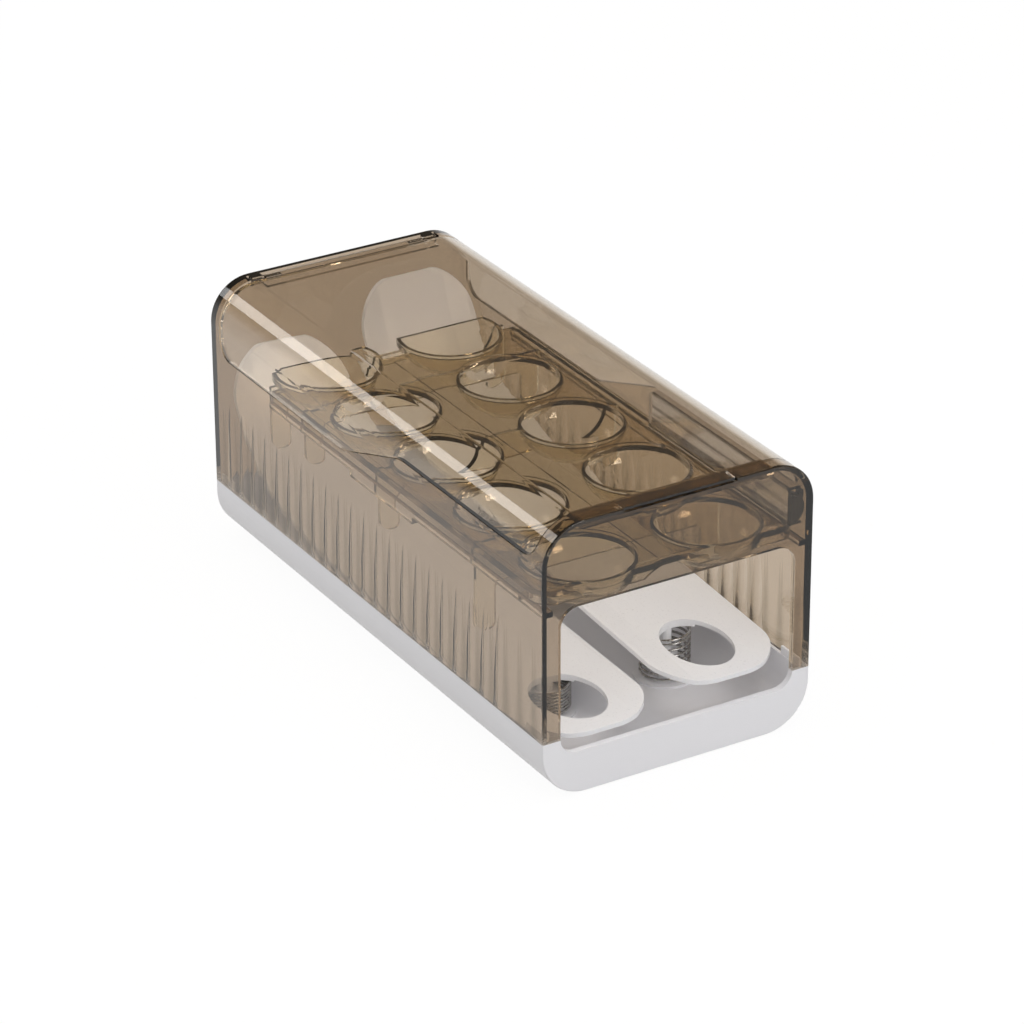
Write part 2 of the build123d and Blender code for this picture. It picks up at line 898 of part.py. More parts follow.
def spring_point(turn, x, y, low, high):
    angle = 2 * math.pi * turn
    return Vector(
        x + spring_radius * math.cos(angle),
        y + spring_radius * math.sin(angle),
        spring_height(turn, low, high),
    )


def spring_tangent(turn, low, high):
    step = 0.125
    after = min(turn + step, spring_turns)
    before = max(turn - step, 0)
    rise = spring_height(after, low, high) - spring_height(before, low, high)
    climb = rise / ((after - before) * 2 * math.pi)
    angle = 2 * math.pi * turn
    flat = Vector(-spring_radius * math.sin(angle), spring_radius * math.cos(angle), climb)
    return flat.normalized()


def least_gap(low, high):
    """Least gap between neighbouring turns, measured on points of the wire."""
    steps = 24
    points = [spring_point(k / steps, 0, 0, low, high) for k in range(spring_turns * steps + 1)]
    gaps = []
    for i, first in enumerate(points):
        for second in points[i + steps // 2 : i + 2 * steps]:
            gaps.append((second - first).length - spring_wire)
    return min(gaps)


def make_spring(name, x, y, pad_low):
    low = base_floor + seat_height + spring_seat_gap + spring_wire / 2
    high = pad_low - spring_seat_gap - spring_wire / 2
    per_turn = 2
    edges = []
    for k in range(spring_turns * per_turn):
        a, b = k / per_turn, (k + 1) / per_turn
        edges += biarc(
            spring_point(a, x, y, low, high),
            spring_tangent(a, low, high),
            spring_point(b, x, y, low, high),
            spring_tangent(b, low, high),
        )
    path = Wire(edges)
    start = Plane(origin=path @ 0, z_dir=path % 0)
    print(name, "least gap to itself", round(least_gap(low, high), 3))
    return sweep(start * RegularPolygon(spring_wire / 2, wire_sides), path=path, clean=False)


# Side holder, insert and end cap


def side_bar_section(face, low, high, room):
    """A channel that is open towards the wall."""
    outer = inner_half_width - holder_wall_gap
    channel = make_face(Polyline((face, low), (outer, low), (outer, high), (face, high), close=True))
    inside = make_face(
        Polyline(
            (face + room, low + room),
            (outer + 1, low + room),
            (outer + 1, high - room),
            (face + room, high - room),
            close=True,
        )
    )
    return channel - inside


def make_side_holder():
    rear = holder_front + holder_length
    section = side_bar_section(holder_face, holder_low, holder_top, holder_wall)
    holder = along_y(section, holder_front, rear)
    outer = inner_half_width - holder_wall_gap
    holder += block((holder_face, outer), (rear - holder_wall, rear), (holder_low, holder_top))
    corner = Pos(rear, holder_top) * Rot(0, 0, 180) * corner_waste(holder_corner)
    holder -= along_x(corner, holder_face - 1, half_width)
    return holder & lid_clear_room()


def lid_clear_room():
    """Inside of the cover, set back from the lid by a small gap."""
    gap = holder_wall_gap
    inner = box_section(
        inner_half_width - gap, tray_low, height - wall - gap, 0, top_corner - wall - gap
    )
    return along_y(inner, -inner_half_length, inner_half_length)


def d_face(flat, depth, middle, tall):
    """A half round outline with its flat side towards the eggs."""
    half = tall / 2
    arc = ThreePointArc((flat, middle - half), (flat + depth, middle), (flat, middle + half))
    return make_face(arc + Line((flat, middle + half), (flat, middle - half)))


def make_side_insert():
    flat = holder_face + holder_wall + insert_gap
    depth = inner_half_width - holder_wall_gap - insert_gap - flat
    middle = (holder_low + holder_top) / 2
    rear = holder_front + holder_length - holder_wall - insert_gap
    return along_y(d_face(flat, depth, middle, insert_height), holder_front, rear)


def make_side_end_cap():
    middle = (holder_low + holder_top) / 2
    back = holder_front
    cap = along_y(d_face(holder_face, cap_depth, middle, cap_height), back - cap_length, back)
    core = d_face(
        holder_face, cap_depth - cap_core_inset, middle, cap_height - 2 * cap_core_inset
    )
    cap += along_y(core, back - cap_length - cap_core, back - cap_length)
    nub_x = holder_face + cap_depth * 0.55
    nub_z = middle + cap_height * 0.34
    cap += block(
        (nub_x, nub_x + cap_nub), (back - cap_length, back), (nub_z - cap_nub / 2, nub_z + cap_nub)
    )
    return cap


# Assembly


def build():
    nodes = {
        "base_tray": make_base(),
        "housing": make_housing(),
        "lid": make_lid(),
        "hinge_pin_left": make_hinge_pin(-1),
        "hinge_pin_right": make_hinge_pin(1),
        "egg_tray": make_egg_tray(),
        "side_holder": make_side_holder(),
        "side_insert": make_side_insert(),
        "side_end_cap": make_side_end_cap(),
    }
    lanes = {"left": (-1, 0, 0), "right": (1, right_lane_tilt, right_lane_lift)}
    for name, (side, tilt, lift) in lanes.items():
        nodes[f"{name}_lane"] = make_lane(side, tilt, lift)
        nodes[f"{name}_lane_screws"] = make_lane_screws(side, tilt, lift)
        stations = zip(("front", "rear"), (front_post_y, rear_post_y), pad_heights(tilt, lift))
        for end, y, pad_low in stations:
            spring = f"{name}_{end}_spring"
            nodes[spring] = make_spring(spring, side * post_x, y, pad_low)
    for name, (x, y) in foot_places().items():
        nodes[f"foot_pad_{name}"] = make_foot(x, y)
    return nodes


if __name__ == "__main__":
    os.makedirs("parts", exist_ok=True)
    print("lane travel", round(lane_travel(), 3))
    for node, solid in build().items():
        export_step(solid, f"parts/{node}.step")
        print(node, "volume", round(solid.volume, 1))
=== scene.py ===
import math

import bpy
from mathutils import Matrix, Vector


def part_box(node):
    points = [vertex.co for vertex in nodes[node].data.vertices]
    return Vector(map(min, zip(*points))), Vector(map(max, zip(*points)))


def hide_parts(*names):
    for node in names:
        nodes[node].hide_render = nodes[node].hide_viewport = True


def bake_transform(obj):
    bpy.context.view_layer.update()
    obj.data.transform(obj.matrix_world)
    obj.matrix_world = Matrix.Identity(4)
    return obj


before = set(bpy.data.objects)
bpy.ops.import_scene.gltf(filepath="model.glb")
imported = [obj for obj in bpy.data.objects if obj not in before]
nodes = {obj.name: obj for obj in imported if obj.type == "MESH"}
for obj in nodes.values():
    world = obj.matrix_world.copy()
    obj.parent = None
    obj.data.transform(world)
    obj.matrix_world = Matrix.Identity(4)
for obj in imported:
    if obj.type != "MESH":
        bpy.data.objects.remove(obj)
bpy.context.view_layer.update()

# %% [markdown]
# # A smoked egg dispenser, step by step
# The object is a fridge box for eggs: a white moulded base, a smoked clear cover with a flip lid, a smoked
# tray with ten cups, and under it two white lanes that stand on steel springs and slope to an open front.
# The frame above brought in the solids, each one in its place. This lesson gives them their finishes, winds
# the springs, and sets up the studio.

# %% [markdown]
# ## Colours
# Colours are easiest to pick as the sRGB hex values that a screen shows, but a renderer adds up light in
# linear values. One function turns the one into the other, so every colour below can be read off a swatch.

# %% Hex colour to linear


def linear(hex_colour):
    """A linear RGBA tuple from an sRGB hex value such as 'E4E4E6'."""
    parts = [int(hex_colour[i : i + 2], 16) / 255 for i in (0, 2, 4)]
    return tuple(((v + 0.055) / 1.055) ** 2.4 if v > 0.04045 else v / 12.92 for v in parts) + (1.0,)


print("mid grey in linear light:", round(linear("808080")[0], 3))

# %% [markdown]
# ## Building materials from nodes
# A material is a small graph. Writing it node by node gets long, so one helper adds a node, sets its
# options, and fills or links its inputs. Everything else in the materials is plain use of this helper.
# Most of a noise texture's values lie between 0.3 and 0.7, so these are kept as the ends of its range.

# %% The one helper for nodes


def add_node(tree, kind, inputs=None, **options):
    """Add a node; inputs maps a socket name or number to a value, or to a socket that feeds it."""
    node = tree.nodes.new(kind)
    for option, value in options.items():
        setattr(node, option, value)
    for key, value in (inputs or {}).items():
        if isinstance(value, bpy.types.NodeSocket):
            tree.links.new(value, node.inputs[key])
        else:
            node.inputs[key].default_value = value
    return node


def new_material(name):
    """An empty node material and its output node."""
    material = bpy.data.materials.new(name)
    material.use_nodes = True
    material.node_tree.nodes.clear()
    output = material.node_tree.nodes.new("ShaderNodeOutputMaterial")
    return material, material.node_tree, output


def per_metre(size_mm):
    """The scale of a texture whose features are this many millimetres wide."""
    return 1000.0 / size_mm


noise_low = 0.3
noise_high = 0.7
print("a 2 mm pattern has scale", per_metre(2))

# %% [markdown]
# ## Smoked clear plastic
# The cover, lid and tray are injection moulded styrene with a brown dye in the mass. Three things make it
# look real. It bends light: polystyrene has an IOR near 1.59, and 1.49 is used here, a little lower, which
# keeps the mirror images in the walls as weak as in the photograph. Its colour comes from the depth of
# plastic that light crosses, so broad walls look tea brown and edges, seen lengthways, look nearly black:
# that is a volume that absorbs. The skin is tinted too, which darkens what the eye sees without dimming the
# lamps that light the inside. And moulded faces are never quite flat, so a very shallow wave, about 14 mm
# from crest to crest, lets reflections wander a little.
# Handling makes the polish a little uneven, in patches about 30 mm wide.
# Lamps can't be aimed through a face that bends light, so for shadow and diffuse rays each face counts as
# plain see-through, with a trace of tint. The absorbing volume still dims those rays.
# Where a pattern says so, a darker skin is mixed in as painted shade, and each finish may bring its own
# pattern.

# %% Smoked plastic
styrene_ior = 1.49
smoke_dye = "C3B18C"
wave_mm = 14.0
wave_depth = 0.000004
touch_mm = 30.0
lamp_tint = "FDFCFB"


def clear_plastic(name, skin_hex, dye_hex, dye_density, gloss, dark_tone_and_shade_hex=None, painted_shade_where=None):
    """Clear plastic with a tinted skin and a dye in its depth, and a darker skin painted as shade where a
    pattern says so.
    """
    material, tree, output = new_material(name)
    coords = add_node(tree, "ShaderNodeTexCoord").outputs
    wave = add_node(
        tree,
        "ShaderNodeTexNoise",
        {"Vector": coords["Object"], "Scale": per_metre(wave_mm), "Detail": 1.0},
    )
    bump = add_node(
        tree,
        "ShaderNodeBump",
        {"Height": wave.outputs["Fac"], "Strength": 1.0, "Distance": wave_depth},
    )
    touch = add_node(
        tree,
        "ShaderNodeTexNoise",
        {"Vector": coords["Object"], "Scale": per_metre(touch_mm), "Detail": 3.0},
    )
    polish = add_node(
        tree,
        "ShaderNodeMapRange",
        {
            "Value": touch.outputs["Fac"],
            "From Min": noise_low,
            "From Max": noise_high,
            "To Min": gloss,
            "To Max": gloss * 2,
        },
    )
    plastic = add_node(
        tree,
        "ShaderNodeBsdfPrincipled",
        {
            "Base Color": linear(skin_hex),
            "Roughness": polish.outputs["Result"],
            "IOR": styrene_ior,
            "Transmission Weight": 1.0,
            "Normal": bump.outputs["Normal"],
        },
    )
    passing = add_node(tree, "ShaderNodeBsdfTransparent", {"Color": linear(lamp_tint)})
    path = add_node(tree, "ShaderNodeLightPath")
    lamp_rays = add_node(
        tree,
        "ShaderNodeMath",
        {0: path.outputs["Is Shadow Ray"], 1: path.outputs["Is Diffuse Ray"]},
        operation="MAXIMUM",
    )
    surface = add_node(
        tree,
        "ShaderNodeMixShader",
        {0: lamp_rays.outputs[0], 1: plastic.outputs["BSDF"], 2: passing.outputs["BSDF"]},
    )
    dye = add_node(
        tree,
        "ShaderNodeVolumeAbsorption",
        {"Color": linear(dye_hex), "Density": dye_density},
    )
    tree.links.new(surface.outputs[0], output.inputs["Surface"])
    tree.links.new(dye.outputs["Volume"], output.inputs["Volume"])
    # Painted shade: a darker skin is mixed into the colour where the pattern says so.
    if painted_shade_where:
        tinted = add_node(
            tree,
            "ShaderNodeMix",
            {"Factor": painted_shade_where(tree, coords), 6: linear(skin_hex), 7: linear(dark_tone_and_shade_hex)},
            data_type="RGBA",
        )
        tree.links.new(tinted.outputs[2], plastic.inputs["Base Color"])
    return material


lid_plastic = clear_plastic("smoked_polystyrene_lid", "DDD4C9", smoke_dye, 45.0, 0.012)
holder_plastic = clear_plastic("grey_clear_polystyrene", "FAFAFC", "B4B4C8", 15.0, 0.03)
print("clear plastics:", lid_plastic.name, holder_plastic.name)

# %% [markdown]
# The long walls of the cover have a row of flutes inside, 12 mm apart, that fade out upwards. The wall is
# thickest on the lands between them, and each land gets a dark streak of painted shade in the skin's
# colour, broad at the foot and ending in a point. A ping-pong of Y gives the distance to the nearest land,
# and Z sets how broad it is. What lies more than 64 mm from the middle counts as long wall. The photograph
# also shows the band above the front opening darker than the wall around it, so painted shade covers that
# band too.

# %% The cover
flute_pitch = 0.012
flute_first_land = 0.14325
flute_foot = 0.0295
flute_top = 0.076
flute_wall = 0.064
land_share = 0.85
streak_tip = 0.00001
front_wall = -0.1502
opening_top = 0.0935
band_blur = 0.001
# How dark the painted shade on the band over the opening is, against that on the lands.
band_shade = 0.6


def cover_painted_shade(tree, coords):
    """Painted shade: 1 on the lands between the flutes, a lighter share on the band above the opening, 0
    elsewhere.
    """
    place = add_node(tree, "ShaderNodeSeparateXYZ", {0: coords["Object"]}).outputs
    along = add_node(
        tree,
        "ShaderNodeMath",
        {0: place["Y"], 1: flute_first_land},
        operation="SUBTRACT",
    )
    from_land = add_node(
        tree,
        "ShaderNodeMath",
        {0: along.outputs[0], 1: flute_pitch / 2},
        operation="PINGPONG",
    )
    reach = add_node(
        tree,
        "ShaderNodeMapRange",
        {
            "Value": place["Z"],
            "From Min": flute_foot,
            "From Max": flute_top,
            "To Min": land_share * flute_pitch / 2,
            "To Max": streak_tip,
        },
    )
    streak = add_node(
        tree,
        "ShaderNodeMapRange",
        {"Value": from_land.outputs[0], "From Min": reach.outputs["Result"], "From Max": 0.0},
        interpolation_type="SMOOTHSTEP",
    )
    off_centre = add_node(tree, "ShaderNodeMath", {0: place["X"]}, operation="ABSOLUTE")
    on_wall = add_node(
        tree,
        "ShaderNodeMath",
        {0: off_centre.outputs[0], 1: flute_wall},
        operation="GREATER_THAN",
    )
    lands = add_node(
        tree,
        "ShaderNodeMath",
        {0: streak.outputs["Result"], 1: on_wall.outputs[0]},
        operation="MULTIPLY",
    )
    in_front = add_node(
        tree,
        "ShaderNodeMath",
        {0: place["Y"], 1: front_wall},
        operation="LESS_THAN",
    )
    over = add_node(
        tree,
        "ShaderNodeMapRange",
        {
            "Value": place["Z"],
            "From Min": opening_top - band_blur,
            "From Max": opening_top,
            "To Max": band_shade,
        },
    )
    band = add_node(
        tree,
        "ShaderNodeMath",
        {0: in_front.outputs[0], 1: over.outputs["Result"]},
        operation="MULTIPLY",
    )
    both = add_node(
        tree,
        "ShaderNodeMath",
        {0: lands.outputs[0], 1: band.outputs[0]},
        operation="MAXIMUM",
    )
    return both.outputs[0]


# 9C8E7B is a darker skin, painted shade on the flute lands and on the band over the opening.
cover_plastic = clear_plastic(
    "smoked_polystyrene_cover", "BDAD9A", smoke_dye, 45.0, 0.012, "9C8E7B", cover_painted_shade
)
print("cover:", cover_plastic.name, "flutes every", 1000 * flute_pitch, "mm")

# %% [markdown]
# The tray's deck is a 2.4 mm plate and its cups have walls of 1.5 mm. In the photograph the deck looks
# darker than that alone gives, so a darker skin is painted on it as shade. The deck is where the face
# looks straight up or down near the top of the tray. Without this painted shade the cups don't stand out
# from the plate.

# %% The tray
deck_low = 0.0962
deck_facing = 0.9


def deck_painted_shade(tree, coords):
    """Where painted shade goes: 1 on the flat deck of the tray, 0 in its cups and ribs."""
    place = add_node(tree, "ShaderNodeSeparateXYZ", {0: coords["Object"]}).outputs
    facing = add_node(tree, "ShaderNodeSeparateXYZ", {0: coords["Normal"]}).outputs
    high = add_node(tree, "ShaderNodeMath", {0: place["Z"], 1: deck_low}, operation="GREATER_THAN")
    slope = add_node(tree, "ShaderNodeMath", {0: facing["Z"]}, operation="ABSOLUTE")
    level = add_node(
        tree,
        "ShaderNodeMath",
        {0: slope.outputs[0], 1: deck_facing},
        operation="GREATER_THAN",
    )
    deck = add_node(
        tree,
        "ShaderNodeMath",
        {0: high.outputs[0], 1: level.outputs[0]},
        operation="MULTIPLY",
    )
    return deck.outputs[0]


# DFCFAE is a darker skin, painted shade on the tray's flat deck.
tray_plastic = clear_plastic(
    "smoked_polystyrene_tray", "FFFBEF", smoke_dye, 60.0, 0.015, "DFCFAE", deck_painted_shade
)
print("tray:", tray_plastic.name)

# %% [markdown]
# ## White moulded plastic
# The base and the lanes are white ABS. A steel mould that was blasted with fine grit leaves a soft satin
# skin: a broad highlight, a grain of about 0.3 mm, and slow changes in shade of a percent or two where
# the melt flowed. The real grain is finer than a pixel, so it is drawn at 0.8 mm to be just visible.

# %% White ABS
abs_ior = 1.53
grain_smoother = 0.04
grain_rougher = 0.05


def moulded_plastic(name, light_hex, dark_tone_and_shade_hex, rough, grain_mm, grain_depth_mm, spread_mm=35.0):
    """Opaque moulded plastic with flow shading and a fine blasted grain."""
    material, tree, output = new_material(name)
    coords = add_node(tree, "ShaderNodeTexCoord").outputs["Object"]
    flow = add_node(
        tree, "ShaderNodeTexNoise", {"Vector": coords, "Scale": per_metre(spread_mm), "Detail": 2.0}
    )
    shade = add_node(
        tree,
        "ShaderNodeMix",
        {"Factor": flow.outputs["Fac"], 6: linear(dark_tone_and_shade_hex), 7: linear(light_hex)},
        data_type="RGBA",
    )
    grain = add_node(
        tree, "ShaderNodeTexNoise", {"Vector": coords, "Scale": per_metre(grain_mm), "Detail": 3.0}
    )
    satin = add_node(
        tree,
        "ShaderNodeMapRange",
        {
            "Value": grain.outputs["Fac"],
            "From Min": noise_low,
            "From Max": noise_high,
            "To Min": rough - grain_smoother,
            "To Max": rough + grain_rougher,
        },
    )
    bump = add_node(
        tree,
        "ShaderNodeBump",
        {"Height": grain.outputs["Fac"], "Strength": 1.0, "Distance": grain_depth_mm / 1000},
    )
    plastic = add_node(
        tree,
        "ShaderNodeBsdfPrincipled",
        {
            "Base Color": shade.outputs[2],
            "Roughness": satin.outputs["Result"],
            "IOR": abs_ior,
            "Normal": bump.outputs["Normal"],
        },
    )
    tree.links.new(plastic.outputs["BSDF"], output.inputs["Surface"])
    return material


base_plastic = moulded_plastic("satin_white_abs_base", "F2F2F5", "EEEEF2", 0.36, 0.8, 0.012)
lane_plastic = moulded_plastic("satin_white_abs_lanes", "F4F4F5", "EFEFF3", 0.30, 0.8, 0.003)
cap_plastic = moulded_plastic("black_moulded_abs", "1A1A1C", "101012", 0.42, 0.7, 0.02)
foot_rubber = moulded_plastic("pale_grey_rubber", "B8B8BA", "ABABAE", 0.75, 0.6, 0.03)
print("opaque plastics:", base_plastic.name, lane_plastic.name, cap_plastic.name, foot_rubber.name)

# %% [markdown]
# ## Steel
# Spring wire is pulled through a die, which leaves it bright. The screws are zinc plated, a little bluer
# and rougher, and the hinge pins are darker. A metal takes its colour from its base colour alone, so the
# default IOR stays. Cloudy changes in shade and roughness stand for handling marks.

# %% Steel wire, screws and pins
cloud_smoother = 0.06
cloud_rougher = 0.08


def steel(name, light_hex, dark_tone_and_shade_hex, rough, cloud_mm):
    """Bare or plated steel with cloudy polish."""
    material, tree, output = new_material(name)
    coords = add_node(tree, "ShaderNodeTexCoord").outputs["Object"]
    cloud = add_node(
        tree, "ShaderNodeTexNoise", {"Vector": coords, "Scale": per_metre(cloud_mm), "Detail": 4.0}
    )
    shade = add_node(
        tree,
        "ShaderNodeMix",
        {"Factor": cloud.outputs["Fac"], 6: linear(dark_tone_and_shade_hex), 7: linear(light_hex)},
        data_type="RGBA",
    )
    polish = add_node(
        tree,
        "ShaderNodeMapRange",
        {
            "Value": cloud.outputs["Fac"],
            "From Min": noise_low,
            "From Max": noise_high,
            "To Min": rough - cloud_smoother,
            "To Max": rough + cloud_rougher,
        },
    )
    metal = add_node(
        tree,
        "ShaderNodeBsdfPrincipled",
        {
            "Base Color": shade.outputs[2],
            "Metallic": 1.0,
            "Roughness": polish.outputs["Result"],
        },
    )
    tree.links.new(metal.outputs["BSDF"], output.inputs["Surface"])
    return material


wire_steel = steel("drawn_spring_steel", "D4D3D1", "A8A7A5", 0.24, 1.5)
screw_steel = steel("zinc_plated_steel", "C4C8CC", "A9AEB4", 0.32, 1.2)
pin_steel = steel("dark_pin_steel", "6E6A66", "4E4A47", 0.30, 1.2)
print("steels:", wire_steel.name, screw_steel.name, pin_steel.name)

# %% [markdown]
# ## The insert of the side holder
# The photograph shows the strip in the side holder as light and dark grey lines along its length. What it
# is made of can't be seen; here it is a silvered plastic strip, and the lines are painted highlights and
# shade in its colour. A noise that is stretched a hundred times along Y by a Mapping node gives such
# lines, and a steep range makes them crisp.

# %% Silvered strip
line_stretch = 0.01
line_low = 0.42
line_high = 0.54
line_depth = 0.0001


def stripe_painted_strip(name, light_hex, dark_tone_and_shade_hex, line_mm, metallic, rough):
    """A silvered strip with painted highlight and shade stripes along Y."""
    material, tree, output = new_material(name)
    coords = add_node(tree, "ShaderNodeTexCoord").outputs["Object"]
    stretched = add_node(
        tree, "ShaderNodeMapping", {"Vector": coords, "Scale": (1.0, line_stretch, 1.0)}
    )
    lines = add_node(
        tree,
        "ShaderNodeTexNoise",
        {"Vector": stretched.outputs["Vector"], "Scale": per_metre(line_mm), "Detail": 2.0},
    )
    steps = add_node(
        tree,
        "ShaderNodeMapRange",
        {"Value": lines.outputs["Fac"], "From Min": line_low, "From Max": line_high},
    )
    # Painted highlights and shade: light and dark stripes along Y mixed into the colour.
    shade = add_node(
        tree,
        "ShaderNodeMix",
        {"Factor": steps.outputs["Result"], 6: linear(dark_tone_and_shade_hex), 7: linear(light_hex)},
        data_type="RGBA",
    )
    bump = add_node(
        tree,
        "ShaderNodeBump",
        {"Height": lines.outputs["Fac"], "Strength": 1.0, "Distance": line_depth},
    )
    strip = add_node(
        tree,
        "ShaderNodeBsdfPrincipled",
        {
            "Base Color": shade.outputs[2],
            "Metallic": metallic,
            "Roughness": rough,
            "Normal": bump.outputs["Normal"],
        },
    )
    tree.links.new(strip.outputs["BSDF"], output.inputs["Surface"])
    return material


# FFFFFF and 77757C are the painted highlight and shade of the stripes.
insert_finish = stripe_painted_strip("silvered_plastic_painted_stripes", "FFFFFF", "77757C", 2.4, 0.8, 0.25)
print("insert:", insert_finish.name)

# %% [markdown]
# ## Dressing the solids
# Most solids already have the right shape, so they stay as they are and only get a finish: each material
# slot of the solid's object is pointed at the new material.

# %% Give each solid its finish
finishes = {
    "base_tray": base_plastic,
    "housing": cover_plastic,
    "lid": lid_plastic,
    "hinge_pin_left": pin_steel,
    "hinge_pin_right": pin_steel,
    "egg_tray": tray_plastic,
    "side_holder": holder_plastic,
    "side_insert": insert_finish,
    "side_end_cap": cap_plastic,
    "left_lane": lane_plastic,
    "right_lane": lane_plastic,
    "left_lane_screws": screw_steel,
    "right_lane_screws": screw_steel,
    "foot_pad_front_left": foot_rubber,
    "foot_pad_front_right": foot_rubber,
    "foot_pad_rear_left": foot_rubber,
    "foot_pad_rear_right": foot_rubber,
}
for node_name, finish in finishes.items():
    for material_slot in nodes[node_name].material_slots:
        material_slot.material = finish
print("dressed solids:", len(finishes))

# %% [markdown]
# ## Springs by Geometry Nodes
# Each lane stands on two coil springs. A spring follows a rule: the wire goes round at a steady radius,
# with one close turn at each end, where it rests, and even turns between. A Geometry Nodes tree can say
# just that. It takes a line of points, moves point number i to its place on the coil by arithmetic, and
# sweeps a small circle along the line. The same tree makes all four, with its sizes as named inputs.
# The height is the sum of three ranges of the turn number: the close turn at the foot, the even turns
# between, and the close turn at the top.

# %% The spring tree
wire_radius = 0.0006
spring_inputs = (
    ("Foot", "NodeSocketVector", (0.0, 0.0, 0.0)),
    ("Height", "NodeSocketFloat", 0.02),
    ("Coil Radius", "NodeSocketFloat", 0.0114),
    ("Wire Radius", "NodeSocketFloat", wire_radius),
    ("Turns", "NodeSocketFloat", 8.0),
    ("End Pitch", "NodeSocketFloat", 0.0017),
)
points_per_turn = 40
wire_sides = 12


def build_spring_tree(material):
    """The node group that winds one spring."""
    tree = bpy.data.node_groups.new("wound_spring", "GeometryNodeTree")
    for title, kind, value in spring_inputs:
        socket = tree.interface.new_socket(title, in_out="INPUT", socket_type=kind)
        socket.default_value = value
    tree.interface.new_socket("Geometry", in_out="OUTPUT", socket_type="NodeSocketGeometry")
    given = add_node(tree, "NodeGroupInput").outputs
    result = add_node(tree, "NodeGroupOutput")
    count = add_node(
        tree,
        "ShaderNodeMath",
        {0: given["Turns"], 1: points_per_turn, 2: 1.0},
        operation="MULTIPLY_ADD",
    )
    line = add_node(tree, "GeometryNodeMeshLine", {"Count": count.outputs[0]}, mode="OFFSET")
    index = add_node(tree, "GeometryNodeInputIndex").outputs[0]
    turn = add_node(tree, "ShaderNodeMath", {0: index, 1: points_per_turn}, operation="DIVIDE").outputs[0]
    angle = add_node(tree, "ShaderNodeMath", {0: turn, 1: 2 * math.pi}, operation="MULTIPLY").outputs[0]
    cosine = add_node(tree, "ShaderNodeMath", {0: angle}, operation="COSINE")
    sine = add_node(tree, "ShaderNodeMath", {0: angle}, operation="SINE")
    before_last = add_node(tree, "ShaderNodeMath", {0: given["Turns"], 1: 1.0}, operation="SUBTRACT")
    last_turn = before_last.outputs[0]
    even_height = add_node(
        tree,
        "ShaderNodeMath",
        {0: given["End Pitch"], 1: -2.0, 2: given["Height"]},
        operation="MULTIPLY_ADD",
    )
    foot_turn = add_node(
        tree, "ShaderNodeMapRange", {"Value": turn, "From Max": 1.0, "To Max": given["End Pitch"]}
    )
    even_turns = add_node(
        tree,
        "ShaderNodeMapRange",
        {"Value": turn, "From Min": 1.0, "From Max": last_turn, "To Max": even_height.outputs[0]},
    )
    top_turn = add_node(
        tree,
        "ShaderNodeMapRange",
        {
            "Value": turn,
            "From Min": last_turn,
            "From Max": given["Turns"],
            "To Max": given["End Pitch"],
        },
    )
    lower = add_node(
        tree,
        "ShaderNodeMath",
        {0: foot_turn.outputs["Result"], 1: even_turns.outputs["Result"]},
        operation="ADD",
    )
    climb = add_node(
        tree,
        "ShaderNodeMath",
        {0: lower.outputs[0], 1: top_turn.outputs["Result"]},
        operation="ADD",
    )
    unit_coil = add_node(
        tree,
        "ShaderNodeCombineXYZ",
        {0: cosine.outputs[0], 1: sine.outputs[0], 2: climb.outputs[0]},
    )
    radii = add_node(
        tree,
        "ShaderNodeCombineXYZ",
        {0: given["Coil Radius"], 1: given["Coil Radius"], 2: 1.0},
    )
    place = add_node(
        tree,
        "ShaderNodeVectorMath",
        {0: unit_coil.outputs[0], 1: radii.outputs[0], 2: given["Foot"]},
        operation="MULTIPLY_ADD",
    )
    wound = add_node(
        tree,
        "GeometryNodeSetPosition",
        {"Geometry": line.outputs["Mesh"], "Position": place.outputs[0]},
    )
    curve = add_node(tree, "GeometryNodeMeshToCurve", {"Mesh": wound.outputs["Geometry"]})
    section = add_node(
        tree,
        "GeometryNodeCurvePrimitiveCircle",
        {"Resolution": wire_sides, "Radius": given["Wire Radius"]},
        mode="RADIUS",
    )
    wire = add_node(
        tree,
        "GeometryNodeCurveToMesh",
        {
            "Curve": curve.outputs["Curve"],
            "Profile Curve": section.outputs["Curve"],
            "Fill Caps": True,
        },
    )
    smooth = add_node(tree, "GeometryNodeSetShadeSmooth", {"Geometry": wire.outputs["Mesh"]})
    real = add_node(tree, "GeometryNodeRealizeInstances", {"Geometry": smooth.outputs["Geometry"]})
    painted = add_node(
        tree,
        "GeometryNodeSetMaterial",
        {"Geometry": real.outputs["Geometry"], "Material": material},
    )
    tree.links.new(painted.outputs["Geometry"], result.inputs["Geometry"])
    return tree


spring_tree = build_spring_tree(wire_steel)
print("spring tree nodes:", len(spring_tree.nodes))

# %% [markdown]
# A tree only gives a result on an object, so a helper puts it on an empty mesh, sets the inputs by their
# identifiers, and keeps the result as a plain mesh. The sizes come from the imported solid: its box gives
# the centre and both ends of the wire.

# %% Run a tree once and keep the mesh


def mesh_from_tree(name, tree, values):
    """A plain mesh object that holds what the tree makes with these named values."""
    carrier = bpy.data.objects.new(name + "_carrier", bpy.data.meshes.new(name + "_carrier"))
    bpy.context.scene.collection.objects.link(carrier)
    modifier = carrier.modifiers.new("tree", "NODES")
    modifier.node_group = tree
    for item in tree.interface.items_tree:
        if item.in_out == "INPUT" and item.name in values:
            modifier[item.identifier] = values[item.name]
    evaluated = carrier.evaluated_get(bpy.context.evaluated_depsgraph_get())
    mesh = bpy.data.meshes.new_from_object(evaluated)
    carrier.modifiers.clear()
    bpy.data.objects.remove(carrier)
    mesh.name = name
    piece = bpy.data.objects.new(name, mesh)
    bpy.context.scene.collection.objects.link(piece)
    return piece


